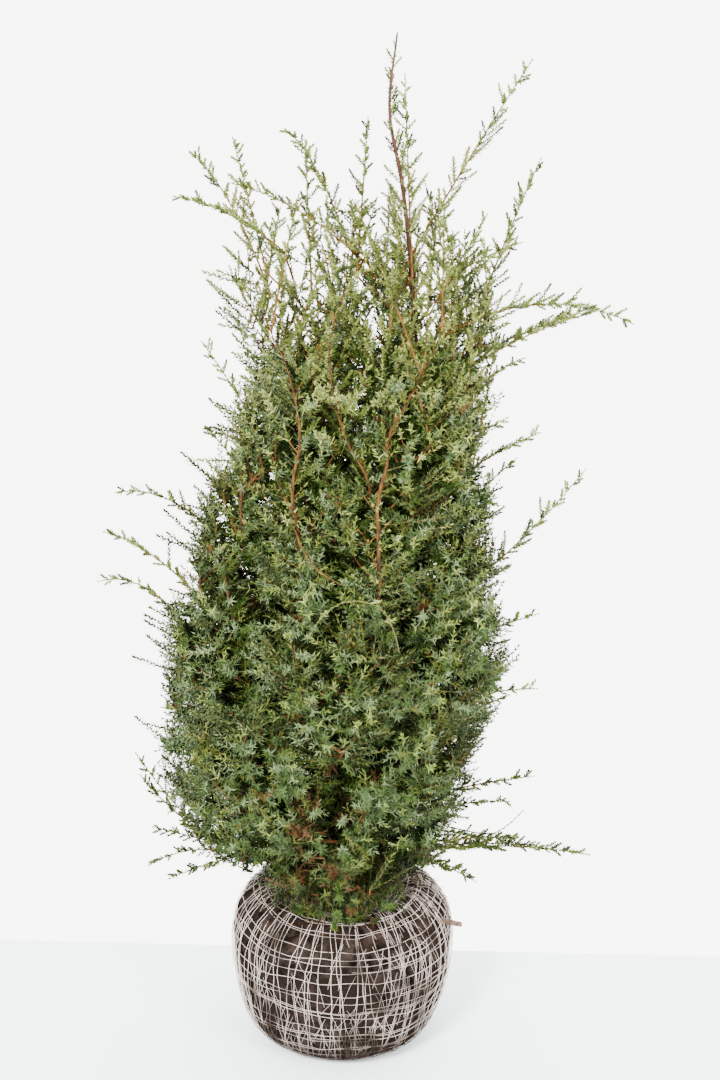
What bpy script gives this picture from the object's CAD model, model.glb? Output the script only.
"""A young irish juniper on its net-wrapped root ball: its looks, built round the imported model."""

import math

import bmesh
import bpy
import numpy as np
from mathutils import Matrix, Vector, noise
from mathutils.bvhtree import BVHTree


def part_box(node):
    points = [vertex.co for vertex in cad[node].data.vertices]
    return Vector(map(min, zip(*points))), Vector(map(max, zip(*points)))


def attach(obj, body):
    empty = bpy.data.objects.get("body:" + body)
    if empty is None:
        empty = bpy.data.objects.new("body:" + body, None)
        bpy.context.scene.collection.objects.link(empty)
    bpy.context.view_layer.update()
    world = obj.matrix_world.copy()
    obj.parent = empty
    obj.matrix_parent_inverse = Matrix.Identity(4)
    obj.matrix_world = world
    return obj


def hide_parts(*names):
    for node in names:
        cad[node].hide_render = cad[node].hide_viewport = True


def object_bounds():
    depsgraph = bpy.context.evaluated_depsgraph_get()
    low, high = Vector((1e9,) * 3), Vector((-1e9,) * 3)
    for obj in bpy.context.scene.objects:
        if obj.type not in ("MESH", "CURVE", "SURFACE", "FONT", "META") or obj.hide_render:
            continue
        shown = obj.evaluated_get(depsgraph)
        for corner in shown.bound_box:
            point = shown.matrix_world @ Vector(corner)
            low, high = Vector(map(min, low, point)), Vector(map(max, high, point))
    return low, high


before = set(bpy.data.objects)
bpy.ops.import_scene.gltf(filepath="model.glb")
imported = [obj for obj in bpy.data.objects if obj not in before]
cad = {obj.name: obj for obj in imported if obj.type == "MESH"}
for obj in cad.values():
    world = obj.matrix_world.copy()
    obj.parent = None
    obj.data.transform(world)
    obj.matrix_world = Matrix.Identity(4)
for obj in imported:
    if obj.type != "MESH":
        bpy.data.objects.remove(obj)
cad_box = [list(corner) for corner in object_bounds()]


# Room
# A pale floor that ends where the wall stands, a white surround that is brightest behind the
# plant, and two soft lamps. The camera stands 1.66 m in front of the stem, looking down.

class Value:
    """A shader socket that works in Python sums."""

    def __init__(self, tree, socket):
        self.tree = tree
        self.socket = socket

    def node(self, kind, settings, values, out=0):
        made = self.tree.nodes.new(kind)
        for key, setting in settings.items():
            setattr(made, key, setting)
        for key, value in values.items():
            if isinstance(value, Value):
                self.tree.links.new(value.socket, made.inputs[key])
            else:
                made.inputs[key].default_value = value
        return Value(self.tree, made.outputs[out])

    def maths(self, operation, first, second, clamp=False):
        return self.node("ShaderNodeMath", {"operation": operation, "use_clamp": clamp},
                         {0: first, 1: second})

    def __add__(self, other):
        return self.maths("ADD", self, other)

    def __radd__(self, other):
        return self.maths("ADD", other, self)

    def __rsub__(self, other):
        return self.maths("SUBTRACT", other, self)

    def __mul__(self, other):
        return self.maths("MULTIPLY", self, other)

    def clamped(self):
        return self.maths("ADD", self, 0.0, True)

    def stepped(self, low, high):
        """0 below low, 1 above high, smooth between."""
        return self.node("ShaderNodeMapRange", {"interpolation_type": "SMOOTHSTEP"},
                         {"Value": self, "From Min": low, "From Max": high})

    def between(self, low, high):
        """Colour low at 0 and high at 1."""
        settings = {"data_type": "RGBA"}
        low = low if isinstance(low, Value) else (*low, 1.0)
        high = high if isinstance(high, Value) else (*high, 1.0)
        return self.node("ShaderNodeMix", settings, {"Factor": self, 6: low, 7: high}, 2)

    def stretched(self, scale):
        return self.node("ShaderNodeVectorMath", {"operation": "MULTIPLY"}, {0: self, 1: scale})

    def noise(self, scale, detail=3.0, roughness=0.55):
        return self.node("ShaderNodeTexNoise", {}, {"Vector": self, "Scale": scale,
                                                    "Detail": detail, "Roughness": roughness})


def finish(name, roughness, colour=None, specular=0.3):
    """A material, its Principled shader and a Value of the Object coordinates."""
    made = bpy.data.materials.new(name)
    made.use_nodes = True
    tree = made.node_tree
    shader = tree.nodes["Principled BSDF"]
    shader.inputs["Roughness"].default_value = roughness
    shader.inputs["Specular IOR Level"].default_value = specular
    if colour:
        shader.inputs["Base Color"].default_value = (*colour, 1.0)
    place = Value(tree, tree.nodes.new("ShaderNodeTexCoord").outputs["Object"])
    return made, shader, place


def feed(value, shader, name):
    value.tree.links.new(value.socket, shader.inputs[name])


def relief(height, shader, distance, strength=1.0):
    bump = height.node("ShaderNodeBump", {}, {"Height": height, "Distance": distance,
                                              "Strength": strength}, "Normal")
    feed(bump, shader, "Normal")


def piece(name, mesh, material, body="root"):
    made = bpy.data.objects.new(name, mesh)
    bpy.context.scene.collection.objects.link(made)
    mesh.materials.append(material)
    if body:
        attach(made, body)
    return made


def mesh_from(bm, name):
    bmesh.ops.recalc_face_normals(bm, faces=bm.faces)
    mesh = bpy.data.meshes.new(name)
    bm.to_mesh(mesh)
    bm.free()
    mesh.shade_smooth()
    return mesh


FLOOR_MIDDLE = (0.0, -1.715, -0.0006)
FLOOR_HALVES = (3.2, 1.9, 1.0, 1.0)
WORLD_DIM = 2.2
WORLD_GAIN = 5.6
CAMERA_PLACE = (0.010, -1.66, 0.979)
CAMERA_PITCH = math.radians(12.74)
CAMERA_ROLL = math.radians(1.35)

bm = bmesh.new()
spread_out = Matrix.Translation(FLOOR_MIDDLE) @ Matrix.Diagonal(FLOOR_HALVES)
bmesh.ops.create_grid(bm, x_segments=1, y_segments=1, size=1.0, matrix=spread_out)
pale, shader, place = finish("pale_floor", 0.75, specular=0.15)
feed(place.noise(3.0).stepped(0.3, 0.7).between((0.84, 0.90, 0.925), (0.87, 0.92, 0.94)),
     shader, "Base Color")
floor = piece("floor", mesh_from(bm, "floor"), pale, body=None)

world = bpy.data.worlds.new("studio")
bpy.context.scene.world = world
world.use_nodes = True
background = world.node_tree.nodes["Background"]
background.inputs["Color"].default_value = (1.0, 0.995, 0.972, 1.0)
ways = world.node_tree.nodes.new("ShaderNodeTexCoord").outputs["Generated"]
ways = Value(world.node_tree, ways)
behind = ways.node("ShaderNodeSeparateXYZ", {}, {"Vector": ways}, "Y").stepped(-0.3, 0.6)
feed(WORLD_DIM + behind * WORLD_GAIN, background, "Strength")


def lamp(name, place, aim, size, power):
    light = bpy.data.lights.new(name, "AREA")
    light.size = size
    light.energy = power
    made = bpy.data.objects.new(name, light)
    made.location = place
    made.rotation_euler = (Vector(aim) - Vector(place)).to_track_quat("-Z", "Y").to_euler()
    bpy.context.scene.collection.objects.link(made)


lamp("key", (-1.1, -2.7, 2.5), (0, 0, 0.5), 0.7, 470.0)
lamp("fill", (1.8, -2.2, 1.9), (0, 0, 0.5), 1.2, 150.0)

camera_data = bpy.data.cameras.new("camera")
camera_data.lens = 50.0
camera_data.sensor_fit = "VERTICAL"
camera_data.sensor_height = 36.0
camera = bpy.data.objects.new("camera", camera_data)
look = Vector((0.0, math.cos(CAMERA_PITCH), -math.sin(CAMERA_PITCH)))
right = Vector((1.0, 0.0, 0.0))
up = right.cross(look)
turned_right = right * math.cos(CAMERA_ROLL) + up * math.sin(CAMERA_ROLL)
turned_up = up * math.cos(CAMERA_ROLL) - right * math.sin(CAMERA_ROLL)
camera.matrix_world = Matrix.Translation(CAMERA_PLACE) @ Matrix(
    (turned_right, turned_up, -look)).transposed().to_4x4()
bpy.context.scene.collection.objects.link(camera)
bpy.context.scene.camera = camera


# Root ball
# Dark moist soil, dug with the roots and pressed into a ball by its net: wider at the girth
# than at the flat foot, higher at the back of the neck than in front, with uneven clods.

BALL_RIM = ((0.0, 0.0), (0.083, 0.0), (0.106, 0.015), (0.119, 0.040), (0.127, 0.070),
            (0.133, 0.100), (0.132, 0.130), (0.122, 0.160), (0.101, 0.184), (0.080, 0.190),
            (0.058, 0.180), (0.034, 0.160), (0.0, 0.1585))
RIM_LAST = len(BALL_RIM) - 1
GIRTH = 0.133
SHOULDER = 0.13
NECK_RADIUS = 0.034
BULGE = 0.0035
FRONT_DROP = 0.020
BALL_HEART = Vector((0.0, 0.0, 0.095))
SOIL_STEPS = 128
SOIL_RINGS = 66


def smooth_at(points, place):
    """A point on the smooth curve through the given ones, place counted in points."""
    last = len(points) - 1
    k = min(int(place), last - 1)
    t = place - k
    b = Vector(points[k])
    c = Vector(points[k + 1])
    a = Vector(points[k - 1]) if k else 2 * b - c
    d = Vector(points[k + 2]) if k + 2 <= last else 2 * c - b
    return 0.5 * (2 * b + (c - a) * t + (2 * a - 5 * b + 4 * c - d) * t ** 2
                  + (3 * b - a - 3 * c + d) * t ** 3)


def settled(spot, lift):
    """A point of an even ball moved to the real one: bulged, lower in front, lifted outwards."""
    radius = spot.xy.length
    way = Vector((spot.x, spot.y, 0.0)).normalized()
    flank = min(max(spot.z / 0.05, 0.0), 1.0)
    shoulder = min(max((spot.z - SHOULDER) / 0.05, 0.0), 1.0)
    neck = min(max((radius - NECK_RADIUS) / 0.02, 0.0), 1.0)
    front = max(0.0, -spot.y / GIRTH)
    bulge = BULGE * noise.noise(spot * 14.0) * flank * neck
    moved = spot + way * bulge + (spot - BALL_HEART).normalized() * lift
    moved.z -= FRONT_DROP * front * shoulder * neck
    return moved


def ball_point(azimuth, place, lift=0.0):
    """A point of the ball's surface: place runs from the foot's middle (0) over the flank."""
    if place < 1.0:
        radius, height = BALL_RIM[1][0] * place, 0.0
    else:
        radius, height = smooth_at(BALL_RIM[1:], place - 1.0)
    around = (math.cos(azimuth) * radius, math.sin(azimuth) * radius)
    return settled(Vector((*around, max(height, 0.0))), lift)


bm = bmesh.new()
rim = []
for k in range(SOIL_RINGS + 1):
    spot = ball_point(0.0, RIM_LAST * k / SOIL_RINGS)
    rim.append(bm.verts.new((spot.x, 0.0, spot.z)))
edges = [bm.edges.new(pair) for pair in zip(rim, rim[1:])]
bmesh.ops.spin(bm, geom=rim + edges, cent=(0, 0, 0), axis=(0, 0, 1), dvec=(0, 0, 0),
               angle=math.tau, steps=SOIL_STEPS, use_merge=True)
bmesh.ops.remove_doubles(bm, verts=bm.verts, dist=1e-6)
for vert in bm.verts:
    if vert.co.z < 1e-5:
        continue
    clod = noise.fractal(vert.co * 60.0, 0.9, 2.0, 4) * 0.0016 - 0.0012
    vert.co = settled(vert.co.copy(), clod * min(1.0, vert.co.z / 0.02))
soil_finish, shader, place = finish("soil", 0.95, specular=0.0)
clods = place.noise(70.0, 5.0, 0.65)
patches = place.noise(14.0, 3.0)
dark = clods.stepped(0.35, 0.70).between((0.0022, 0.0016, 0.0013), (0.026, 0.0185, 0.0148))
feed(patches.stepped(0.45, 0.62).between(dark, (0.0090, 0.0062, 0.0048)), shader, "Base Color")
relief(place.noise(160.0, 5.0, 0.7), shader, 0.002)
soil = piece("soil_ball", mesh_from(bm, "soil_ball"), soil_finish)
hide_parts("root_ball")


# Net
# A knitted net of pale fibre, pulled tight over the soil: level rows, threads that run up
# the flank and many slanted ones, crowded in places, gathered at the neck and soiled below.

def polyline_tubes(courses, sides):
    """Open joined tubes with this many sides: each course is (points, radii)."""
    all_verts = []
    all_faces = []
    base = 0
    angle = np.arange(sides) * 2 * np.pi / sides
    for points, radii in courses:
        points = np.asarray(points, float)
        ahead = np.gradient(points, axis=0)
        ahead /= np.linalg.norm(ahead, axis=1)[:, None] + 1e-12
        helper = np.eye(3)[np.argmin(np.abs(ahead.mean(0)))]
        side = np.cross(ahead, helper)
        side /= np.linalg.norm(side, axis=1)[:, None] + 1e-12
        rise = np.cross(ahead, side)
        ring = (side[:, None] * np.cos(angle)[None, :, None]
                + rise[:, None] * np.sin(angle)[None, :, None])
        verts = points[:, None] + ring * np.asarray(radii, float)[:, None, None]
        all_verts.append(verts.reshape(-1, 3))
        k = np.arange(len(points) - 1)[:, None] * sides
        j = np.arange(sides)[None]
        j2 = (j + 1) % sides
        quads = np.stack([k + j, k + j2, k + sides + j2, k + sides + j], -1).reshape(-1, 4)
        all_faces.append(quads + base)
        base += len(points) * sides
    return np.concatenate(all_verts), np.concatenate(all_faces)


def joined_mesh(name, verts, faces, smooth):
    mesh = bpy.data.meshes.new(name)
    verts = np.asarray(verts, np.float32)
    faces = np.asarray(faces, np.int32)
    sides = faces.shape[1]
    mesh.vertices.add(len(verts))
    mesh.vertices.foreach_set("co", verts.ravel())
    mesh.loops.add(faces.size)
    mesh.loops.foreach_set("vertex_index", faces.ravel())
    mesh.polygons.add(len(faces))
    mesh.polygons.foreach_set("loop_start", np.arange(0, faces.size, sides, dtype=np.int32))
    mesh.polygons.foreach_set("use_smooth", np.full(len(faces), smooth))
    mesh.update(calc_edges=True)
    return mesh


rng = np.random.default_rng(11)
NET_THREADS = 86
NET_ROWS = 25
NET_LOW = 0.8
NET_HIGH = 9.9
NET_SLANTS = 470
THREAD_RADIUS = 0.00025
TWIN_ROWS = 0.40
TWIN_THREADS = 0.25
CROWDED_FRONT = (0.26, (-3.0, -0.9), (1.0, 4.5))
CROWDED_RIGHT = (0.36, (-1.1, 0.3), (5.0, 8.4))
SLANT_SLIMNESS = 0.60
strands = []


def net_place(azimuth, place_on, seed):
    """A point of the net, which wanders a little from its even rows and threads."""
    spot = Vector((math.cos(azimuth) * 2.4, math.sin(azimuth) * 2.4, place_on * 0.45 + seed))
    azimuth += 0.035 * noise.noise(spot * 1.7)
    place_on += 0.17 * noise.noise(spot * 1.3 + Vector((7, 0, 0)))
    point = ball_point(azimuth, min(max(place_on, 0.6), 10.2), rng.uniform(0.0003, 0.0012))
    point.z = max(point.z, THREAD_RADIUS)
    return point


def net_strand(azimuths, places, seed, slimness=1.0):
    radius = THREAD_RADIUS * slimness * rng.uniform(0.75, 1.2)
    strands.append(([net_place(a, p, seed) for a, p in zip(azimuths, places)],
                    [radius] * len(azimuths)))


for row in range(NET_ROWS):
    level = NET_LOW + (NET_HIGH - NET_LOW) * (row + rng.normal(0, 0.16)) / (NET_ROWS - 1)
    for twin in range(1 + (rng.random() < TWIN_ROWS)):
        length = math.tau if twin == 0 else rng.uniform(1.5, 5.0)
        turns = rng.uniform(0, math.tau) + np.linspace(0, length, int(13 * length))
        sway = rng.normal(0.0, 0.10) * np.sin(turns + rng.uniform(0, math.tau))
        net_strand(turns, level + twin * rng.uniform(0.05, 0.2) + sway, row * 0.9 + twin)
for thread in range(NET_THREADS):
    turn = math.tau * (thread + rng.normal(0, 0.3)) / NET_THREADS
    for twin in range(1 + (rng.random() < TWIN_THREADS)):
        span = (NET_LOW, NET_HIGH)
        if twin:
            middle = rng.uniform(2.0, 8.0)
            span = (max(NET_LOW, middle - 2.2), min(NET_HIGH, middle + 2.2))
        places = np.linspace(*span, int(5.0 * (span[1] - span[0])))
        lean = rng.normal(0, 0.024) * (places - 5.0)
        net_strand(turn + twin * rng.normal(0, 0.035) + lean, places, thread * 0.37 + twin)
for slant in range(NET_SLANTS):
    crowd = rng.random()
    turn = rng.uniform(0, math.tau)
    low_place = rng.uniform(NET_LOW, 8.2)
    for share, turns, levels in (CROWDED_FRONT, CROWDED_RIGHT):
        if crowd < share:
            turn, low_place = rng.uniform(*turns), rng.uniform(*levels)
            break
    rise = rng.uniform(0.6, 2.0)
    lean = rng.uniform(0.02, 0.17) * rng.choice((-1, 1))
    steps = np.linspace(0, 1, 4)
    net_strand(turn + lean * steps, low_place + rise * steps, 0.5, SLANT_SLIMNESS)
net_finish, shader, place = finish("net_fibre", 0.8, specular=0.2)
height = place.node("ShaderNodeSeparateXYZ", {}, {"Vector": place}, "Z")
stains = place.noise(20.0).stepped(0.46, 0.68) * 0.85
soiled = (stains + (1.0 - height.stepped(0.008, 0.066)) * 0.9).clamped()
feed(soiled.between((0.62, 0.51, 0.46), (0.048, 0.032, 0.023)), shader, "Base Color")
net = piece("net", joined_mesh("net", *polyline_tubes(strands, 3), True), net_finish)


# Cut root
# The sawn end of a root as thick as a pencil, in dull brown bark, that sticks out of the net
# on the right.

ROOT_THICK = 0.0034
ROOT_THIN = 0.0029
low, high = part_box("cut_root")
bm = bmesh.new()
root_from = Vector((low.x, high.y, (low.z + high.z) / 2 - 0.0008))
root_to = Vector((high.x, low.y, (low.z + high.z) / 2 + 0.0008))
middle = root_from.lerp(root_to, 0.5)
along = (root_to - root_from).normalized()
turn = Vector((0, 0, 1)).rotation_difference(along).to_matrix().to_4x4()
bmesh.ops.create_cone(bm, cap_ends=True, segments=14, radius1=ROOT_THICK, radius2=ROOT_THIN,
                      depth=(root_to - root_from).length - 0.002,
                      matrix=Matrix.Translation(middle) @ turn)
bmesh.ops.subdivide_edges(bm, edges=[e for e in bm.edges if abs(
    (e.verts[1].co - e.verts[0].co).dot(along)) > 0.01], cuts=6)
for vert in bm.verts:
    vert.co += vert.co.normalized() * 0.0005 * noise.noise(vert.co * 300.0)
root_finish, shader, place = finish("root_bark", 0.85, specular=0.2)
feed(place.noise(180.0).stepped(0.35, 0.65).between((0.05, 0.03, 0.022), (0.15, 0.09, 0.06)),
     shader, "Base Color")
relief(place.noise(400.0), shader, 0.0008)
cut_root = piece("root_end", mesh_from(bm, "root_end"), root_finish)
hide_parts("cut_root")


# Trunk and boughs
# One stem of reddish brown bark in long fibrous ridges, flared where it enters the soil,
# with short boughs that carry the lowest foliage and two that carry the upper plumes.

TRUNK_COURSE = ((0.000, 0.000, 0.1603), (0.000, 0.001, 0.195), (0.008, 0.010, 0.320),
                (0.034, 0.016, 0.500), (0.066, 0.022, 0.690), (0.064, 0.022, 0.860),
                (0.048, 0.020, 0.990), (0.031, 0.020, 1.075), (0.037, 0.020, 1.154))
TRUNK_FOOT = 0.160
TRUNK_TOP = 1.154
TRUNK_STEPS = 180
BOUGH_STEPS = 12
BOUGH_RADIUS = 0.0044
BOUGH_SAG = 0.016
TIP_REACH = 0.008


def trunk_radius(height):
    rise = min(max((height - TRUNK_FOOT) / (TRUNK_TOP - TRUNK_FOOT), 0.0), 1.0)
    flare = 0.010 * math.exp(-(height - TRUNK_FOOT) / 0.016)
    return 0.0011 + 0.0094 * (1 - rise) ** 1.1 + flare


def limb_mesh(bm, course, radii, sides, ridge):
    """A closed limb with fibrous ridges, drawn out ring by ring from a circle."""
    first = bmesh.ops.create_circle(bm, cap_ends=True, segments=sides, radius=1.0)
    ring = first["verts"]
    for k, (spot, radius) in enumerate(zip(course, radii)):
        ahead = course[min(k + 1, len(course) - 1)] - course[max(k - 1, 0)]
        turn = Vector((0, 0, 1)).rotation_difference(ahead).to_matrix()
        for j, vert in enumerate(ring):
            angle = math.tau * j / sides
            groove = noise.noise(Vector((math.cos(angle) * 2.2, math.sin(angle) * 2.2, spot.z * 9)))
            grown = radius * (1.0 + ridge * groove)
            vert.co = spot + turn @ Vector((math.cos(angle) * grown, math.sin(angle) * grown, 0))
        ring_set = set(ring)
        if k < len(course) - 1:
            edges = [e for v in ring for e in v.link_edges if e.other_vert(v) in ring_set]
            edges = list(set(edges))
            out = bmesh.ops.extrude_edge_only(bm, edges=edges)
            fresh = [g for g in out["geom"] if isinstance(g, bmesh.types.BMVert)]
            by_place = {tuple(round(c, 7) for c in v.co): v for v in fresh}
            ring = [by_place[tuple(round(c, 7) for c in v.co)] for v in ring]
    bmesh.ops.contextual_create(bm, geom=ring)


bark_finish, shader, place = finish("bark", 0.9, specular=0.2)
fibres = place.stretched((1.0, 1.0, 0.14)).noise(330.0, 4.0, 0.6)
tone = fibres.stepped(0.34, 0.68).between((0.016, 0.007, 0.005), (0.070, 0.027, 0.015))
feed(place.noise(35.0).stepped(0.5, 0.7).between(tone, (0.045, 0.032, 0.025)), shader, "Base Color")
relief(fibres, shader, 0.0015)

trunk_last = len(TRUNK_COURSE) - 1
trunk_line = [smooth_at(TRUNK_COURSE, trunk_last * k / TRUNK_STEPS) for k in range(TRUNK_STEPS + 1)]
bm = bmesh.new()
limb_mesh(bm, trunk_line, [trunk_radius(p.z) for p in trunk_line], 16, 0.22)
trunk = piece("trunk_bark", mesh_from(bm, "trunk_bark"), bark_finish)
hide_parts("trunk")

bough_lines = []
for name in sorted(n for n in cad if n.startswith("bough_")):
    spots = [v.co.copy() for v in cad[name].data.vertices]
    axis = min(trunk_line, key=lambda p: (p - sum(spots, Vector()) / len(spots)).length)
    far = max(spots, key=lambda p: (p - axis).length)
    near = min(spots, key=lambda p: (p - axis).length)
    tip_spots = [p for p in spots if (p - far).length < TIP_REACH]
    tip = sum(tip_spots, Vector()) / len(tip_spots)
    foot = min(trunk_line, key=lambda p: (p - near).length)
    shares = [k / BOUGH_STEPS for k in range(BOUGH_STEPS + 1)]
    line = [foot.lerp(tip, s) - Vector((0, 0, BOUGH_SAG)) * s * (1 - s) for s in shares]
    bough_lines.append(line)
    bm = bmesh.new()
    limb_mesh(bm, line, [BOUGH_RADIUS * (1 - 0.70 * s) for s in shares], 10, 0.2)
    made = piece(name + "_bark", mesh_from(bm, name + "_bark"), bark_finish)
    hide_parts(name)


# Limbs
# The wood that shows between the foliage: five ascending stems, measured in millimetres, then
# limbs and branches that grow to seeded places in every mass, each from the wood that suits it.

rng = np.random.default_rng(5)
STEMS = (
    (420, ((22, -90, 500), (31, -146, 579), (29, -154, 627), (27, -146, 673), (36, -128, 713),
           (38, -112, 740), (61, -92, 783), (80, -78, 819), (96, -65, 861))),
    (460, ((-45, -80, 550), (-57, -116, 645), (-61, -134, 682), (-55, -124, 745),
           (-70, -100, 807), (-96, -76, 858), (-111, -60, 900))),
    (560, ((26, -80, 650), (14, -118, 700), (-8, -112, 738), (-22, -96, 787), (-28, -80, 834),
           (-17, -60, 871), (-8, -40, 929), (-10, -30, 984))),
    (700, ((92, 12, 790), (112, 12, 845), (120, 10, 900))),
    (600, ((50, 60, 700), (36, 85, 800), (30, 95, 880))),
)
SHOOT_RADIUS = 0.00040
THICKEST_LIMB = 0.0020
THINNEST_LIMB = 0.0012
CROOK = 0.0018
LIMBS_PER_MASS = 3
BRANCHES_PER_MASS = 8
BRANCHES_PER_VOLUME = 8000
wood_spots = []
wood_ways = []
branches = []
limb_tubes = []
brown_twigs = []
green_twigs = []


def trunk_at(height):
    return min(trunk_line, key=lambda p: abs(p.z - height))


TRUNK_XY = np.array([trunk_at(k / 100)[:2] for k in range(120)])


def trunk_beside(height):
    return TRUNK_XY[np.clip((np.asarray(height) * 100).astype(int), 0, 119)]


def arc(foot, tip, bend, steps):
    """Points on a bend from foot to tip."""
    t = np.linspace(0.0, 1.0, steps + 1)[:, None]
    middle = (foot + tip) / 2 + bend
    return foot * (1 - t) ** 2 + 2 * middle * t * (1 - t) + tip * t ** 2


def crooked(points):
    """The same course with the small crooks of grown wood."""
    return np.array([p + CROOK * Vector((noise.noise(p * 45.0), noise.noise(p * 38.0 + p), 0.0))
                     for p in points])


def add_wood(points, parent=None):
    """Wood that others can grow from; parent is the place on other wood it grows from."""
    branches.append((len(wood_spots), len(points), parent))
    wood_spots.extend(points)
    wood_ways.extend(np.gradient(points, axis=0))


add_wood(np.array(trunk_line[6::2]))
for line in bough_lines:
    add_wood(np.array(line[3:]))
STIFF_WOOD = len(branches)
for height, spots in STEMS:
    course = [trunk_at(height / 1000)] + [Vector(s) for s in np.array(spots) / 1000]
    count = len(spots) * 6
    add_wood(crooked([smooth_at(course, len(spots) * k / count) for k in range(count + 1)]))


def mass_shape(name):
    mesh = cad[name].data
    mesh.calc_loop_triangles()
    spots = np.array([v.co for v in mesh.vertices])
    corners = spots[np.array([t.vertices for t in mesh.loop_triangles])]
    centre = (spots.min(0) + spots.max(0)) / 2
    volume = abs(np.einsum("ij,ij->i", corners[:, 0] - centre,
                           np.cross(corners[:, 1] - centre, corners[:, 2] - centre)).sum()) / 6
    return corners, centre, volume


def mass_targets(name, count, inner, power):
    """Places in a mass, from share inner of its reach outwards, most under its outer skin."""
    corners, centre, _ = mass_shape(name)
    normal = np.cross(corners[:, 1] - corners[:, 0], corners[:, 2] - corners[:, 0])
    area = np.linalg.norm(normal, axis=1)
    middle = corners.mean(1)
    outward = middle.copy()
    outward[:, :2] -= trunk_beside(middle[:, 2] - 0.10)
    outward[:, 2] = 0.06
    outward /= np.linalg.norm(outward, axis=1)[:, None]
    facing = np.einsum("ij,ij->i", normal, outward) / area
    weight = area * (0.22 + np.clip(facing, 0, None))
    pick = rng.choice(len(corners), count, p=weight / weight.sum())
    u = rng.random((count, 1))
    v = rng.random((count, 1))
    folded = u + v > 1
    u = np.where(folded, 1 - u, u)
    v = np.where(folded, 1 - v, v)
    chosen = corners[pick]
    spot = chosen[:, 0] + u * (chosen[:, 1] - chosen[:, 0]) + v * (chosen[:, 2] - chosen[:, 0])
    share = inner + (1 - inner) * rng.random((count, 1)) ** power
    return centre + (spot - centre) * share


def nearest_wood(tip, climb, spots):
    """The wood that a shoot to this tip grows from: near, below it and further in."""
    apart = tip - spots
    beside = trunk_beside(tip[2] - 0.05)
    flat = np.hypot(apart[:, 0], apart[:, 1])
    distance = np.sqrt(flat ** 2 + apart[:, 2] ** 2)
    out_of = np.hypot(spots[:, 0] - beside[0], spots[:, 1] - beside[1])
    reach = math.hypot(tip[0] - beside[0], tip[1] - beside[1])
    cost = (distance + 1.3 * np.clip(climb * flat - apart[:, 2], 0, None)
            + 0.8 * np.clip(out_of - reach, 0, None))
    return int(np.argmin(cost))


def steepness(tip):
    """How steeply branches climb: level in the skirt, ever steeper towards the top."""
    return float(np.interp(tip[2], (0.15, 0.25, 0.45, 0.8), (-0.9, 0.0, 0.6, 1.6)))


def grow_to(tips, steps):
    """Branches to these tips, the innermost first."""
    away = [math.hypot(*(t[:2] - trunk_beside(t[2]))) for t in tips]
    for k in np.argsort(away):
        tip = tips[k]
        near = nearest_wood(tip, steepness(tip), np.array(wood_spots))
        foot = wood_spots[near]
        length = np.linalg.norm(tip - foot)
        bend = rng.normal(0, 0.05, 3) * length
        bend[2] -= 0.10 * length
        add_wood(arc(foot, tip, bend, steps), near)


MASSES = sorted(n for n in cad if n.startswith("mass_"))
counts = {n: BRANCHES_PER_MASS + int(mass_shape(n)[2] * BRANCHES_PER_VOLUME) for n in MASSES}
grow_to([t for n in MASSES for t in mass_targets(n, LIMBS_PER_MASS, 0.45, 1.0)], 9)
grow_to([t for n in MASSES for t in mass_targets(n, counts[n], 0.55, 0.8)], 7)


# Foliage
# Shoots of awl-shaped needles in whorls of three: flat and pale above, keeled and green
# below, with plain dark ones within. A shoot has an older tint and a young one at its end.

NEEDLE_LENGTH = 0.0088
NEEDLE_WIDTH = 0.00158
NEEDLE_DEPTH = 0.0004
WHORL_SPACING = 0.0060
SHADE_LENGTH = 1.4
SHADE_WIDTH = 0.0034
SHADE_SPACING = 0.0042
TINTS = {
    "glaucous": ((0.102, 0.144, 0.060), (0.014, 0.025, 0.006)),
    "bluegreen": ((0.046, 0.075, 0.023), (0.008, 0.017, 0.003)),
    "green": ((0.034, 0.060, 0.009), (0.007, 0.017, 0.0014)),
    "deep": ((0.015, 0.029, 0.004), (0.004, 0.010, 0.001)),
    "fresh": ((0.142, 0.184, 0.038), (0.064, 0.090, 0.013)),
    "sunlit": ((0.245, 0.278, 0.080), (0.152, 0.180, 0.036)),
    "olive": ((0.074, 0.087, 0.013), (0.026, 0.034, 0.003)),
    "rust": ((0.058, 0.026, 0.007), (0.024, 0.010, 0.003)),
}
SHADE_TINTS = {
    "shade": (0.0048, 0.0095, 0.0010),
    "shade_green": (0.019, 0.035, 0.0042),
    "shade_rust": (0.028, 0.012, 0.003),
}
needles = {tint: [] for tint in TINTS}
shaded = {tint: [] for tint in SHADE_TINTS}


def unit(ways):
    return ways / (np.linalg.norm(ways, axis=-1, keepdims=True) + 1e-12)


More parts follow.
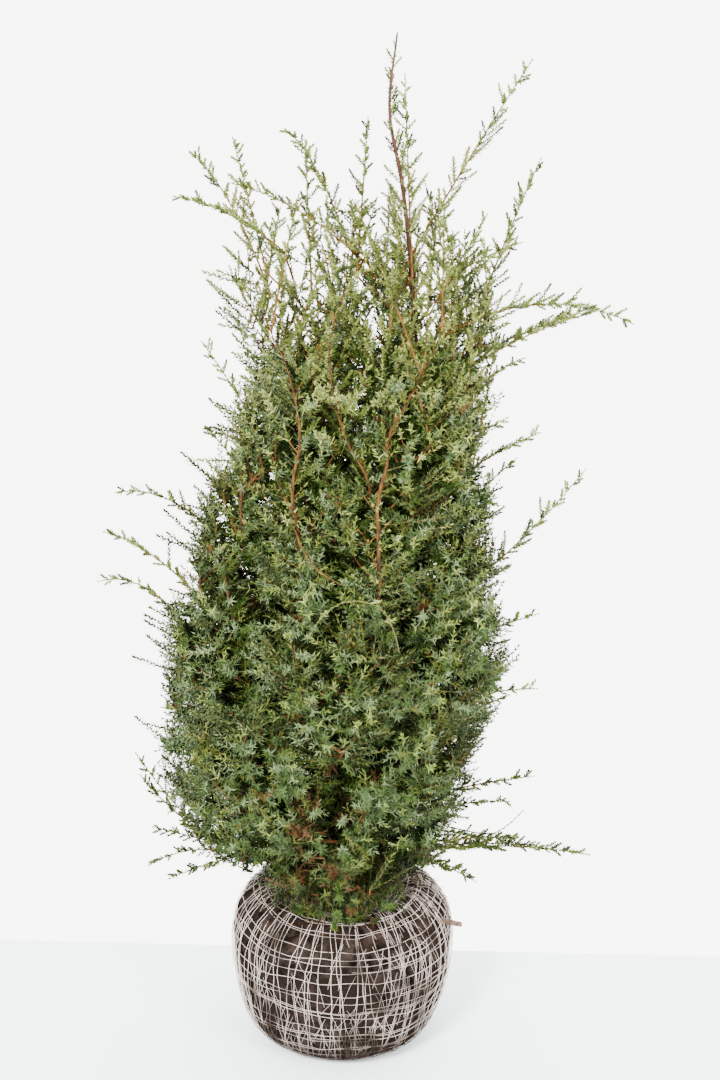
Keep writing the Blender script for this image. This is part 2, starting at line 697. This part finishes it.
def whorls(points, start, spacing, spread, end=1.0):
    """Feet, ways, upper sides and lengths of needles in threes, from share start to end."""
    steps = np.linalg.norm(np.diff(points, axis=0), axis=1)
    run = np.concatenate([[0.0], np.cumsum(steps)])
    places = np.arange(run[-1] * start, run[-1] * end - 0.001, spacing) + rng.uniform(0, 0.001)
    places = np.append(places, run[-1] * end)
    spot = np.stack([np.interp(places, run, points[:, k]) for k in range(3)], 1)
    ahead = unit(np.stack([np.interp(places, run, np.gradient(points[:, k], run))
                           for k in range(3)], 1))
    helper = np.eye(3)[np.argmin(np.abs(ahead.mean(0)))]
    side = unit(np.cross(ahead, helper))
    rise = np.cross(ahead, side)
    to_tip = (run[-1] - places) / NEEDLE_LENGTH
    turn = (np.arange(len(places))[:, None] * 1.047 + np.arange(3) * 2.094
            + rng.uniform(0, math.tau))
    turn = turn + rng.normal(0, 0.22, turn.shape)
    angle = ((0.50 + 0.70 * np.clip(to_tip / 1.2, 0, 1)) * spread)[:, None]
    angle = (angle + rng.normal(0, 0.17, turn.shape))[..., None]
    out = side[:, None] * np.cos(turn)[..., None] + rise[:, None] * np.sin(turn)[..., None]
    way = ahead[:, None] * np.cos(angle) + out * np.sin(angle)
    above = ahead[:, None] * np.sin(angle) - out * np.cos(angle)
    length = rng.uniform(0.78, 1.15, turn.shape) * (0.6 + 0.4 * np.clip(to_tip, 0, 1))[:, None]
    return spot[:, None] + np.zeros_like(way), way, above, length[..., None] * NEEDLE_LENGTH


def clothe(points, start, tint, spread=1.0, spacing=WHORL_SPACING, long=1.0, wide=1.0, end=1.0):
    """Needles with a pale upper and a green under side."""
    foot, way, above, length = whorls(points, start, spacing, spread, end)
    across = np.cross(way, above) * NEEDLE_WIDTH * wide / 2
    under = foot - above * NEEDLE_DEPTH
    corners = (foot - across, foot + across, under + across, under - across,
               foot + way * length * long)
    needles[tint].append(np.stack(corners, 2).reshape(-1, 5, 3))


def shade(points, start, tint):
    """Plain dark needles of the inner crown, larger than those outside."""
    foot, way, above, length = whorls(points, start, SHADE_SPACING, 1.0)
    across = np.cross(way, above) * SHADE_WIDTH / 2
    corners = (foot - across, foot + across, foot + way * length * SHADE_LENGTH)
    shaded[tint].append(np.stack(corners, 2).reshape(-1, 3, 3))


TWIG_THICK = 0.00048
TWIG_THIN = 0.00026
INNER_DEPTH = 0.022
SWELL = {"mass_high_left": 1.0, "mass_middle_left": 1.0, "mass_middle_right": 1.20,
         "mass_high_right": 1.14, "mass_low_left": 1.16, "mass_low_front_left": 1.14,
         "mass_low_right": 1.16, "mass_skirt_left": 1.12, "mass_apron_front": 0.92}
USUAL_SWELL = 1.07
CREVICE = (-0.008, 0.015, 0.250, 0.390)
DEAD_SPOTS = ((-0.038, 0.330, 0.022), (0.006, 0.330, 0.016), (-0.030, 0.262, 0.024))
DENSITY = ((0.15, 480000), (0.55, 480000), (0.66, 460000), (0.72, 420000), (0.84, 150000))
INNER_SHARE = 0.47
CLOSE_MASSES = ("mass_low_left", "mass_middle_left", "mass_high_left")
OPEN_HEIGHT = 0.78
PLUME_HEIGHT = 0.80
HEART = (0.235, 0.830, 0.045, 800)
FILL_COUNT = 1700
VALLEY_COUNT = 1500
FURTHEST = np.array(cad_box[1]) + 0.010
CLOSER = 1.30
OLD_TINTS = ("bluegreen", "glaucous", "green", "deep", "olive", "fresh")
YOUNG_TINTS = ("bluegreen", "glaucous", "green", "fresh", "olive", "sunlit")
LOW_TINTS = ("green", "olive", "deep", "rust")
YOUNG_RUN = 0.017


def pick_tints(tip):
    """Tints of a shoot's older part and its young end, by its height; rust for a dead one."""
    high = tip[2]
    for x, z, reach in DEAD_SPOTS:
        if tip[1] < 0 and math.hypot(tip[0] - x, high - z) < reach and rng.random() < 0.4:
            return "rust", "rust"
    if rng.random() < 0.010:
        return "rust", "rust"
    if high < 0.265:
        return rng.choice(LOW_TINTS, 2, p=(0.46, 0.22, 0.22, 0.10))
    ripe = float(np.interp(high, (0.53, 0.81), (0.0, 1.0)))
    old = np.array((0.30, 0.14, 0.32, 0.18, 0.06, 0.0)) * (1 - ripe) + np.array(
        (0.11, 0.24, 0.16, 0.0, 0.23, 0.26)) * ripe
    pale = float(np.interp(high, (0.28, 0.42), (0.12, 0.30)))
    young = np.array((0.27, pale, 0.28, 0.13, 0.10, 0.0)) * (1 - ripe) + np.array(
        (0.05, 0.20, 0.04, 0.32, 0.04, 0.35)) * ripe
    return rng.choice(OLD_TINTS, p=old / old.sum()), rng.choice(YOUNG_TINTS, p=young / young.sum())


def dress(points, start, tip, spread=1.0, spacing=WHORL_SPACING, long=1.0, wide=1.0):
    """Needles from share start to the tip of a shoot, the last ones in its young tint."""
    old, young = pick_tints(tip)
    length = np.linalg.norm(points[-1] - points[0])
    turn = 1 - YOUNG_RUN / max(length, YOUNG_RUN)
    if turn > start + 0.1:
        clothe(points, start, old, spread, spacing, long, wide, turn)
        clothe(points, turn + spacing / length, young, spread, spacing, long, wide)
    else:
        clothe(points, start, young, spread, spacing, long, wide)


def in_crevice(spot):
    """Whether a place lies in the upright cleft in the front of the crown."""
    gap_x, gap_half, gap_low, gap_high = CREVICE
    return spot[1] < -0.085 and abs(spot[0] - gap_x) < gap_half and gap_low < spot[2] < gap_high


def mass_places(name, density):
    """Evenly strewn places in a mass, with the depth of each below the mass's outer side."""
    corners, centre, _ = mass_shape(name)
    flat = corners.reshape(-1, 3)
    tree = BVHTree.FromPolygons([Vector(c) for c in flat],
                                [(k, k + 1, k + 2) for k in range(0, len(flat), 3)])
    swell = SWELL.get(name, USUAL_SWELL)
    cell = density ** (-1 / 3)
    low = centre + (flat.min(0) - centre) * swell
    high = centre + (flat.max(0) - centre) * swell
    sides = [np.arange(a, b, cell) for a, b in zip(low, high)]
    strewn = np.stack(np.meshgrid(*sides, indexing="ij"), -1).reshape(-1, 3)
    strewn += rng.uniform(0, cell, strewn.shape)
    places = []
    depths = []
    for spot in strewn:
        way = spot - centre
        reach = tree.ray_cast(Vector(centre), Vector(way))[3]
        if reach is None or reach * swell < np.linalg.norm(way):
            continue
        if in_crevice(spot) and rng.random() < 0.8:
            continue
        outward = spot - np.append(trunk_beside(spot[2]), spot[2] - 0.02)
        depth = tree.ray_cast(Vector(spot), Vector(outward))[3] or 0.0
        if depth < INNER_DEPTH or rng.random() < INNER_SHARE:
            places.append(spot)
            depths.append(depth)
    return np.array(places), depths


def shoots_in(name, density, loads):
    """Shoots that fill a mass: short and forward-pointing, from the nearest wood."""
    tips, depths = mass_places(name, density)
    everywhere = np.array(wood_spots)
    close = np.nonzero(((everywhere > tips.min(0) - 0.09)
                        & (everywhere < tips.max(0) + 0.09)).all(1))[0]
    spots = everywhere[close]
    for tip, depth in zip(tips, depths):
        near = close[nearest_wood(tip, steepness(tip) * 0.6, spots)]
        foot = everywhere[near]
        length = np.linalg.norm(tip - foot)
        bend = rng.normal(0, 0.07, 3) * length + wood_ways[near] * 0.3
        bend[2] -= 0.07 * length
        inner = depth > INNER_DEPTH and tip[2] < OPEN_HEIGHT
        steps = 1 if length < 0.028 or inner else 2 if length < 0.06 else 3
        points = arc(foot, tip, bend, steps)
        twigs = brown_twigs if rng.random() < 0.22 else green_twigs
        twigs.append((points, np.linspace(TWIG_THICK, TWIG_THIN, steps + 1)))
        start = max(0.06, 1 - 0.060 / max(length, 1e-6))
        if inner:
            light = min(0.62, float(np.interp(tip[2], (0.46, 0.64), (0.0, 0.54))
                                    + np.interp(depth, (INNER_DEPTH, 0.045), (0.26, 0.0))))
            shade(points, start, rng.choice(tuple(SHADE_TINTS), p=(0.66 - light, 0.30 + light, 0.04)))
        else:
            ripe = float(np.interp(tip[2], (0.45, 0.65), (0.0, 1.0)))
            wide = (1.2 if depth < 0.002 else 1.0) + 0.15 * ripe
            fine = (1.0, WHORL_SPACING - 0.0012 * ripe, 1.0 - 0.20 * ripe, wide)
            if tip[2] > PLUME_HEIGHT:
                fine = (0.85, 0.0038, 0.66, 1.4)
            dress(points, start, tip, *fine)
        loads[near] += 1


loads = np.zeros(len(wood_spots))
for name in MASSES:
    height = mass_shape(name)[1][2]
    close = CLOSER if name in CLOSE_MASSES else 1.0
    density = close * np.interp(height, [d[0] for d in DENSITY], [d[1] for d in DENSITY])
    shoots_in(name, density, loads)

skin = np.concatenate([mass_shape(name)[0].reshape(-1, 3) for name in MASSES])
skin_ways = skin[:, :2] - trunk_beside(skin[:, 2])
skin_turns = np.arctan2(skin_ways[:, 1], skin_ways[:, 0])
skin_reach = np.hypot(skin_ways[:, 0], skin_ways[:, 1])


def crown_reach(height, turn):
    """How far the crown reaches from the stem this way at this height."""
    apart = np.abs((skin_turns - turn + math.pi) % math.tau - math.pi)
    near = (apart < 0.35) & (np.abs(skin[:, 2] - height) < 0.035)
    return skin_reach[near].max() if near.any() else 0.0


heart_low, heart_high, heart_reach, heart_count = HEART
wood = np.array(wood_spots)
for k in range(heart_count + FILL_COUNT + VALLEY_COUNT):
    height = rng.uniform(heart_low, heart_high)
    turn = k * 2.4
    out = heart_reach * math.sqrt(rng.random())
    valley = k >= heart_count + FILL_COUNT
    if k >= heart_count:
        share = rng.uniform(0.80, 0.98) if valley else rng.uniform(0.40, 0.83)
        out = crown_reach(height, (turn + math.pi) % math.tau - math.pi) * share
    tip = np.append(trunk_beside(height) + out * np.array((math.cos(turn), math.sin(turn))), height)
    near = nearest_wood(tip, 0.3, wood)
    length = np.linalg.norm(tip - wood[near])
    if length < 0.004 or valley and in_crevice(tip):
        continue
    points = arc(wood[near], tip, np.array((0.0, 0.0, -0.07 * length)), 2 if valley else 1)
    points = points - np.clip(tip - FURTHEST, 0.0, None)
    if valley:
        green_twigs.append((points, np.linspace(TWIG_THICK, TWIG_THIN, 3)))
        dress(points, max(0.06, 1 - 0.055 / length), tip)
    else:
        dark = 0.60 if height < 0.58 else 0.25
        shade(points, 0.1, rng.choice(tuple(SHADE_TINTS), p=(dark, 0.88 - dark, 0.12)))

for number in range(len(branches) - 1, STIFF_WOOD - 1, -1):
    first, count, parent = branches[number]
    beyond = np.cumsum(loads[first:first + count][::-1])[::-1]
    if parent is not None:
        loads[parent] += beyond[0]
    radii = np.minimum(SHOOT_RADIUS * (1.0 + beyond) ** 0.36, THICKEST_LIMB)
    points = np.array(wood_spots[first:first + count])
    (limb_tubes if radii[0] > THINNEST_LIMB else brown_twigs).append((points, radii))


# Long shoots
# The feathery shoots that stand out of the crown, each on its own course: brown stems with
# green tips, small tufts all along and side shoots that turn upwards. A few are bare.

LONG_SHOOTS = (
    ((48, 20, 900), (182, 20, 1130), 4, 16),
    ((112, 12, 790), (200, 50, 1029), 10, 18),
    ((100, -20, 840), (293, -60, 859), 26, 20),
    ((110, 30, 800), (273, 80, 866), 4, 13),
    ((120, 4, 540), (264, 20, 687), -10, 15),
    ((100, -6, 230), (286, -30, 240), 8, 15),
    ((-120, 20, 560), (-268, 10, 650), 30, 7),
    ((-110, -50, 470), (-268, -70, 622), 26, 7),
    ((-130, -10, 400), (-282, -30, 556), 50, 7),
    ((-120, -16, 224), (-242, -30, 352), -18, 10),
    ((-140, -16, 226), (-224, -55, 226), 10, 5),
    ((-80, -20, 925), (-196, -30, 979), 10, 11),
    ((-96, 12, 880), (-186, 40, 1026), 20, 15),
    ((-98, 0, 900), (-138, 20, 1042), 0, 11),
    ((-10, -8, 930), (-78, -30, 1050), 18, 11),
    ((-10, -10, 930), (-134, -50, 994), 10, 11),
    ((0, 4, 900), (8, -16, 1064), 4, 11),
    ((60, -18, 900), (46, -4, 1110), -4, 14),
    ((30, 80, 840), (36, 136, 985), 0, 12),
    ((10, -60, 740), (-40, -178, 790), 10, 12),
    ((100, 20, 780), (273, 70, 862), 10, 10),
    ((80, 30, 880), (186, 80, 937), 6, 7),
    ((80, -10, 860), (137, -30, 968), 0, 8),
    ((80, 30, 860), (89, 70, 976), 0, 7),
    ((-50, 20, 880), (-61, 50, 1043), 0, 9),
    ((100, 0, 740), (193, 60, 808), 10, 6),
    ((90, -30, 690), (164, -70, 757), 4, 5),
    ((100, 10, 660), (210, 20, 728), 6, 6),
    ((100, 40, 600), (191, 80, 688), 4, 6),
    ((120, 20, 470), (222, 50, 508), 4, 6),
    ((120, -20, 420), (214, -40, 445), 4, 5),
    ((90, -10, 300), (220, 0, 324), 2, 7),
    ((70, -20, 225), (154, -20, 204), 6, 5),
    ((-100, -20, 720), (-169, 0, 823), 4, 6),
    ((-90, -20, 640), (-160, -50, 737), 4, 6),
    ((-110, 20, 360), (-224, 50, 381), 4, 6),
    ((-110, -10, 430), (-194, -50, 447), 4, 5),
    ((90, -10, 280), (191, -20, 300), 4, 10),
    ((70, -20, 240), (201, -40, 264), 4, 12),
    ((80, 0, 225), (232, -10, 238), 8, 14),
    ((60, -30, 225), (153, -45, 210), 10, 9),
    ((70, 20, 240), (170, 40, 226), 6, 9),
    ((-132, -30, 240), (-223, -30, 262), 0, 9),
    ((-150, -28, 250), (-239, -20, 322), -10, 9),
    ((-110, -20, 226), (-200, -60, 212), 4, 9),
    ((30, -20, 740), (-6, -45, 862), 0, 10),
    ((20, 0, 740), (8, -20, 878), 0, 10),
    ((35, -30, 730), (12, -60, 850), 0, 10),
)
BARE_SHOOTS = (
    (green_twigs, 0.8, ((53, -190, 530), (40, -206, 572), (19, -214, 588), (-4, -215, 588),
                        (-23, -210, 575), (-40, -195, 545))),
    (brown_twigs, 1.1, ((-58, -144, 645), (-45, -176, 626), (-28, -180, 608), (-5, -172, 594))),
    (brown_twigs, 0.8, ((-71, -20, 215), (-110, -30, 230), (-156, -30, 252))),
    (brown_twigs, 0.9, ((120, -10, 262), (168, -20, 259), (188, -20, 269), (207, -20, 288))),
)
RISING_SHOOTS = 74
TUFT_SPACING = 0.0104
SHOOT_STEPS = 14
SIDE_THICK = 0.0006
SIDE_THIN = 0.0003


def side_shoot(start, ahead, reach, sweep, tint, long, lift=0.9):
    """A clothed shoot beside a longer one, turned upwards by its share lift."""
    sideways = unit(np.cross(ahead, rng.normal(0, 1, 3)))
    sideways[2] += (abs(sideways[2]) - sideways[2] + 0.1) * lift
    end = start + (ahead * 0.65 + sideways * sweep) * reach
    end[2] = min(end[2], TRUNK_TOP - 0.004)
    steps = 3 if reach > 0.018 else 1
    twig = arc(start, end, np.array((0.0, 0.0, -0.05 * reach)), steps)
    green_twigs.append((twig, np.linspace(SIDE_THICK, SIDE_THIN, steps + 1)))
    clothe(twig, 0.06, tint, 0.95, 0.0023, long, 1.7)


def long_shoot(foot, tip, bow, sides):
    """A shoot that bows by this much, rooted in the nearest wood, brown below and green above."""
    points = arc(foot, tip, np.array((0.0, 0.0, 2.0 * bow)), SHOOT_STEPS)
    length = np.linalg.norm(points[-1] - points[0])
    radii = np.linspace(0.0007 + length * 0.0050, 0.00038, SHOOT_STEPS + 1)
    origin = wood[nearest_wood(foot, 0.8, wood)]
    if np.linalg.norm(foot - origin) > 0.002:
        ahead = (points[1] - points[0]) * 0.5
        brown_twigs.append((arc(origin, foot, -ahead, 5), np.full(6, radii[0])))
    brown_twigs.append((points[:10], radii[:10]))
    green_twigs.append((points[9:], radii[9:]))
    low = points[-1][2] < 0.38
    shares = (0.04, 0.26, 0.26, 0.30, 0.14) if low else (0.42, 0.36, 0.10, 0.0, 0.12)
    clothe(points, 0.45, "olive" if low else "sunlit", 0.60, 0.0038, 0.50, 1.2)
    tufts = int(length / TUFT_SPACING)
    for k in range(sides + tufts):
        tuft = k >= sides
        row, count = (k - sides, tufts) if tuft else (k, sides)
        share = 0.14 + 0.82 * (row + rng.uniform(0.1, 0.9)) / count
        place = share * SHOOT_STEPS
        i = min(int(place), SHOOT_STEPS - 1)
        along = points[i + 1] - points[i]
        start = points[i] + along * (place - i)
        reach = rng.uniform(0.4, 1.0) * min(0.034, length * 0.17) * (1.2 - share) / 0.7
        if tuft:
            reach = rng.uniform(0.006, 0.013)
        tint = rng.choice(("sunlit", "fresh", "olive", "green", "glaucous"), p=shares)
        side_shoot(start, unit(along), reach, 0.75, tint, 0.64, 0.2 if tuft else 0.7)


def measured_shoots(shoots):
    """Long shoots by foot, tip and bow in millimetres and by their number of side shoots."""
    for foot, tip, bow, sides in shoots:
        long_shoot(np.array(foot) / 1000, np.array(tip) / 1000, bow / 1000, sides)


def rising_shoots(count):
    """Seeded shoots that rise through the open upper crown, from the stems and the plumes."""
    spots = np.array(wood_spots)
    for k in range(count):
        turn = k * 2.4
        out = 0.115 * math.sqrt((k + 0.5) / count)
        tip = np.array((0.030 + math.cos(turn) * out * 1.15, 0.010 + math.sin(turn) * out * 0.8,
                        rng.uniform(0.86, 1.045) - 0.5 * out))
        below = rng.normal(0, 0.045, 3) * (1.0, 1.0, 0.2) - (0.0, 0.0, 0.10)
        near = nearest_wood(tip + below, 1.6, spots)
        long_shoot(spots[near], tip, rng.normal(0, 0.012), 6)


measured_shoots(LONG_SHOOTS)
rising_shoots(RISING_SHOOTS)
for twigs, radius, spots in BARE_SHOOTS:
    course = [Vector(s) for s in np.array(spots) / 1000]
    steps = 5 * (len(course) - 1)
    points = crooked([smooth_at(course, (len(course) - 1) * k / steps) for k in range(steps + 1)])
    twigs.append((points, np.linspace(radius, radius * 0.6, steps + 1) / 1000))
    clothe(points, 0.2, "fresh" if twigs is green_twigs else "olive", 0.6, 0.0060, 0.45)

STEM_SIDES = 16
for first, count, _ in branches[STIFF_WOOD:STIFF_WOOD + len(STEMS)]:
    course = wood[first:first + count]
    for k in range(STEM_SIDES):
        i = int(rng.uniform(0.25, 0.95) * (count - 1))
        tint = rng.choice(("olive", "fresh", "glaucous"), p=(0.36, 0.36, 0.28))
        side_shoot(course[i], unit(course[i + 1] - course[i]), rng.uniform(0.010, 0.030), 0.8, tint, 0.8)

LEADER_SIDES = 50
leader = np.array([p for p in trunk_line if p.z > 0.86])
clothe(leader, 0.45, "fresh", 0.65, 0.0042, 0.55)
for k in range(LEADER_SIDES):
    share = k / LEADER_SIDES
    i = int((0.02 + 0.94 * share) * (len(leader) - 2))
    reach = (0.044 - 0.030 * share) * rng.uniform(0.35, 1.1)
    tint = rng.choice(("sunlit", "fresh", "olive"), p=(0.45, 0.40, 0.15))
    side_shoot(leader[i], unit(leader[i + 1] - leader[i]), reach, 0.60, tint, 0.65)


# Tufts and skirt
# Short shoots that stand out all round the dense crown, the lowest ones, which hang over
# the neck of the ball on every side and furthest in front, and the litter that they shed.

TUFTS_PER_MASS = 27
LONG_TUFTS = 6
LOW_REACH = np.array(cad_box[0]) + 0.004
HIGH_REACH = np.array(cad_box[1]) - 0.004
for name in MASSES:
    tips = mass_targets(name, TUFTS_PER_MASS, 0.97, 1.0)
    beside = trunk_beside(tips[:, 2])
    away = np.hypot(tips[:, 0] - beside[:, 0], tips[:, 1] - beside[:, 1])
    for rank, k in enumerate(np.argsort(-away)):
        outward = unit(np.append(tips[k][:2] - beside[k], 0.0))
        outward[2] = rng.uniform(0.0, 1.0)
        beyond = rng.uniform(0.012, 0.038) if rank < LONG_TUFTS else rng.uniform(0.002, 0.018)
        end = np.clip(tips[k] + outward * beyond, LOW_REACH, HIGH_REACH)
        points = arc(tips[k] - outward * 0.022, end, np.array((0.0, 0.0, -0.004)), 2)
        green_twigs.append((points, np.linspace(0.0008, 0.0004, 3)))
        dress(points, 0.2, tips[k], 0.85, 0.0035, 0.90, 1.8)

SKIRT_SHOOTS = 250
APRON_SHOOTS = 130
for k in range(SKIRT_SHOOTS + APRON_SHOOTS):
    apron = k >= SKIRT_SHOOTS
    turn = math.tau * k * 0.618
    out = rng.uniform(0.035, 0.105)
    drop = 0.0
    if apron:
        turn = rng.normal(-1.62, 0.55)
        out = rng.uniform(0.075, 0.112)
        drop = 0.006
    front = max(0.0, -math.sin(turn))
    way = np.array((math.cos(turn), math.sin(turn), 0.0))
    end = way * out - np.array((0.006, 0.0, 0.0))
    end[2] = (0.206 - 0.012 * front * (out > 0.06) - drop + rng.uniform(0.0, 0.034)
              - 0.20 * max(0.0, out - 0.085))
    start = way * out * 0.45 + np.array((0.0, 0.0, rng.uniform(0.235, 0.285)))
    points = arc(start, end, (way + np.array((0.0, 0.0, 0.8))) * (0.012 + drop), 3)
    green_twigs.append((points, np.linspace(SIDE_THICK, SIDE_THIN, 4)))
    tint = rng.choice(("green", "bluegreen", "olive", "deep", "rust"),
                      p=(0.42, 0.20, 0.18, 0.10, 0.10))
    clothe(points, 0.05, tint, 0.9, 0.0042, 0.95, 1.2)

LITTER = 1600
for k in range(LITTER):
    turn = rng.uniform(0, math.tau)
    spot = np.array(ball_point(turn, rng.uniform(7.2, 11.4), 0.0012))
    way = rng.normal(0, 1, 3) * (1.0, 1.0, 0.15)
    way = unit(way) * NEEDLE_LENGTH
    across = unit(np.cross(way, (0.0, 0.0, 1.0))) * NEEDLE_WIDTH * 0.6
    shaded["shade_rust"].append(np.stack((spot - across, spot + across, spot + way))[None])

GAP_SHOOTS = (
    ((-20, 10, 735), (2, -5, 850), 0, 12),
    ((10, 30, 735), (-22, 20, 860), 0, 12),
    ((-4, 50, 735), (-12, 45, 870), 0, 12),
    ((-12, -10, 730), (-6, -10, 838), 0, 12),
)
measured_shoots(GAP_SHOOTS)


# Needle and wood pieces
# The needles of each tint, joined, less most of those that grow over the front stems and the
# high trunk, which lie open in clefts of the foliage; then the twigs and the limbs.

NEEDLES_PER_PIECE = 90000
CLEFT_STEMS = 3
CLEFT_HALF = 0.0042
CLEFT_DEPTH = 0.070
CLEFT_OPEN = 0.85
CLEFT_FRONT = 0.02
CLEFT_LOW = 0.5
CLEFT_RISE = 0.6
CLEFT_LEVEL = 0.98
TRUNK_SHOWS = 0.79
CLEFT_LINES = [np.array(wood_spots[first + count // 5:first + count])
               for first, count, _ in branches[STIFF_WOOD:STIFF_WOOD + CLEFT_STEMS]]
CLEFT_LINES.append(np.array([p for p in trunk_line if p.z > TRUNK_SHOWS]))


def clear_of_stems(grown):
    """The needles without most of those that grow over the front stems and the high trunk."""
    middle = grown.mean(1)
    close = np.nonzero((middle[:, 1] < CLEFT_FRONT) & (middle[:, 2] > CLEFT_LOW))[0]
    over = np.zeros(len(close), bool)
    for line in CLEFT_LINES:
        for spot in np.concatenate((line, (line[1:] + line[:-1]) / 2)):
            way = unit(np.array((0.0, -1.0, CLEFT_RISE * (CLEFT_LEVEL - spot[2]))))
            apart = middle[close] - spot
            ahead = apart @ way
            beside = np.linalg.norm(apart - ahead[:, None] * way, axis=1)
            over |= (ahead > 0) & (ahead < CLEFT_DEPTH) & (beside < CLEFT_HALF)
    gone = close[over & (rng.random(len(close)) < CLEFT_OPEN)]
    return np.delete(grown, gone, axis=0)


def needle_pieces(name, grown, faces, colours, gloss):
    """Joined needles in pieces of under 200,000 triangles, a colour for each face of one."""
    finishes = [finish(f"{name}_{k}", 0.55, colour, gloss)[0] for k, colour in enumerate(colours)]
    parts = -(-len(grown) // NEEDLES_PER_PIECE)
    pieces = []
    for part in range(parts):
        some = grown[part::parts]
        joined = (np.arange(len(some))[:, None, None] * some.shape[1] + faces).reshape(-1, 3)
        label = f"{name}_{part}"
        mesh = joined_mesh(label, some.reshape(-1, 3), joined, False)
        pieces.append(piece(label, mesh, finishes[0]))
        for other in finishes[1:]:
            mesh.materials.append(other)
        mesh.polygons.foreach_set("material_index", np.tile(np.arange(len(faces)), len(some)))
    return pieces


shown = []
for tint, colours in TINTS.items():
    slot = "young_needles" if tint in ("fresh", "sunlit") else "needles"
    shown += needle_pieces(f"needles_{tint}", clear_of_stems(np.concatenate(needles[tint])),
                           np.array(((0, 1, 4), (2, 3, 4))), colours, 0.20)
for tint, colour in SHADE_TINTS.items():
    shown += needle_pieces(f"needles_{tint}", clear_of_stems(np.concatenate(shaded[tint])),
                           np.array(((0, 1, 2),)), (colour,), 0.08)
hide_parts(*MASSES)
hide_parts(*sorted(n for n in cad if n.startswith("spray_")))

green_wood, shader, place = finish("green_wood", 0.7, specular=0.25)
feed(place.noise(60.0).stepped(0.35, 0.65).between((0.052, 0.062, 0.014), (0.095, 0.070, 0.016)),
     shader, "Base Color")
brown_wood, shader, place = finish("brown_wood", 0.75, specular=0.2)
feed(place.noise(60.0).stepped(0.35, 0.65).between((0.052, 0.021, 0.003), (0.145, 0.060, 0.006)),
     shader, "Base Color")
limb_bark, shader, place = finish("limb_bark", 0.85, specular=0.2)
flakes = place.stretched((1.0, 1.0, 0.2)).noise(260.0, 4.0, 0.6)
feed(flakes.stepped(0.34, 0.68).between((0.020, 0.0075, 0.002), (0.096, 0.036, 0.004)),
     shader, "Base Color")
relief(flakes, shader, 0.0010)
for name, tubes, sides, wood in (("twigs_green", green_twigs, 3, green_wood),
                                 ("twigs_brown", brown_twigs, 3, brown_wood),
                                 ("limbs", limb_tubes, 6, limb_bark)):
    piece(name, joined_mesh(name, *polyline_tubes(tubes, sides), True), wood)

bpy.context.view_layer.update()
